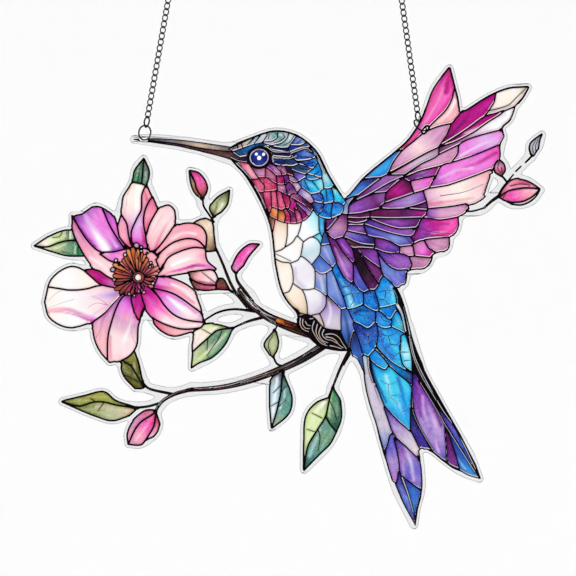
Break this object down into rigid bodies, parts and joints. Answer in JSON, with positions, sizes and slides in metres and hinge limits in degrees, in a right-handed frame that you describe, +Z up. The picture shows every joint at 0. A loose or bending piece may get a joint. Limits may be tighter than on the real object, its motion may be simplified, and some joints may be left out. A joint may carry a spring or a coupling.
{
  "type": "acrylic suncatcher",
  "caption": "Clear acrylic hummingbird-and-blossom suncatcher with a stained-glass style print, hung from black chains that end in hook rings.",
  "frame": {"origin": "the height at which the two hook rings bear on their hooks, midway across the picture, in the middle of the sheet's thickness", "axes": "+Z up, -Y out of the printed picture's front face, +X to the viewer's right"},
  "size_m": [0.2576, 0.0112, 0.2797],
  "materials": {
    "clear_acrylic": "clear polished cast acrylic, printed on both faces in transparent inks and raised black lines",
    "black_metal": "black lacquered steel wire, satin"
  },
  "bodies": {
    "root": {"acrylic_panel": "clear_acrylic", "left_sheet_ring": "black_metal", "right_sheet_ring": "black_metal", "left_connector": "black_metal", "right_connector": "black_metal", "left_hook_ring": "black_metal", "right_hook_ring": "black_metal", "left_link_01": "black_metal", "left_link_02": "black_metal", "left_link_03": "black_metal", "left_link_04": "black_metal", "left_link_05": "black_metal", "left_link_06": "black_metal", "left_link_07": "black_metal", "left_link_08": "black_metal", "left_link_09": "black_metal", "left_link_10": "black_metal", "left_link_11": "black_metal", "left_link_12": "black_metal", "left_link_13": "black_metal", "left_link_14": "black_metal", "left_link_15": "black_metal", "left_link_16": "black_metal", "left_link_17": "black_metal", "left_link_18": "black_metal", "left_link_19": "black_metal", "left_link_20": "black_metal", "left_link_21": "black_metal", "right_link_01": "black_metal", "right_link_02": "black_metal", "right_link_03": "black_metal", "right_link_04": "black_metal", "right_link_05": "black_metal", "right_link_06": "black_metal", "right_link_07": "black_metal", "right_link_08": "black_metal", "right_link_09": "black_metal", "right_link_10": "black_metal", "right_link_11": "black_metal", "right_link_12": "black_metal", "right_link_13": "black_metal", "right_link_14": "black_metal", "right_link_15": "black_metal", "right_link_16": "black_metal", "right_link_17": "black_metal", "right_link_18": "black_metal", "right_link_19": "black_metal", "right_link_20": "black_metal"}
  },
  "joints": []
}
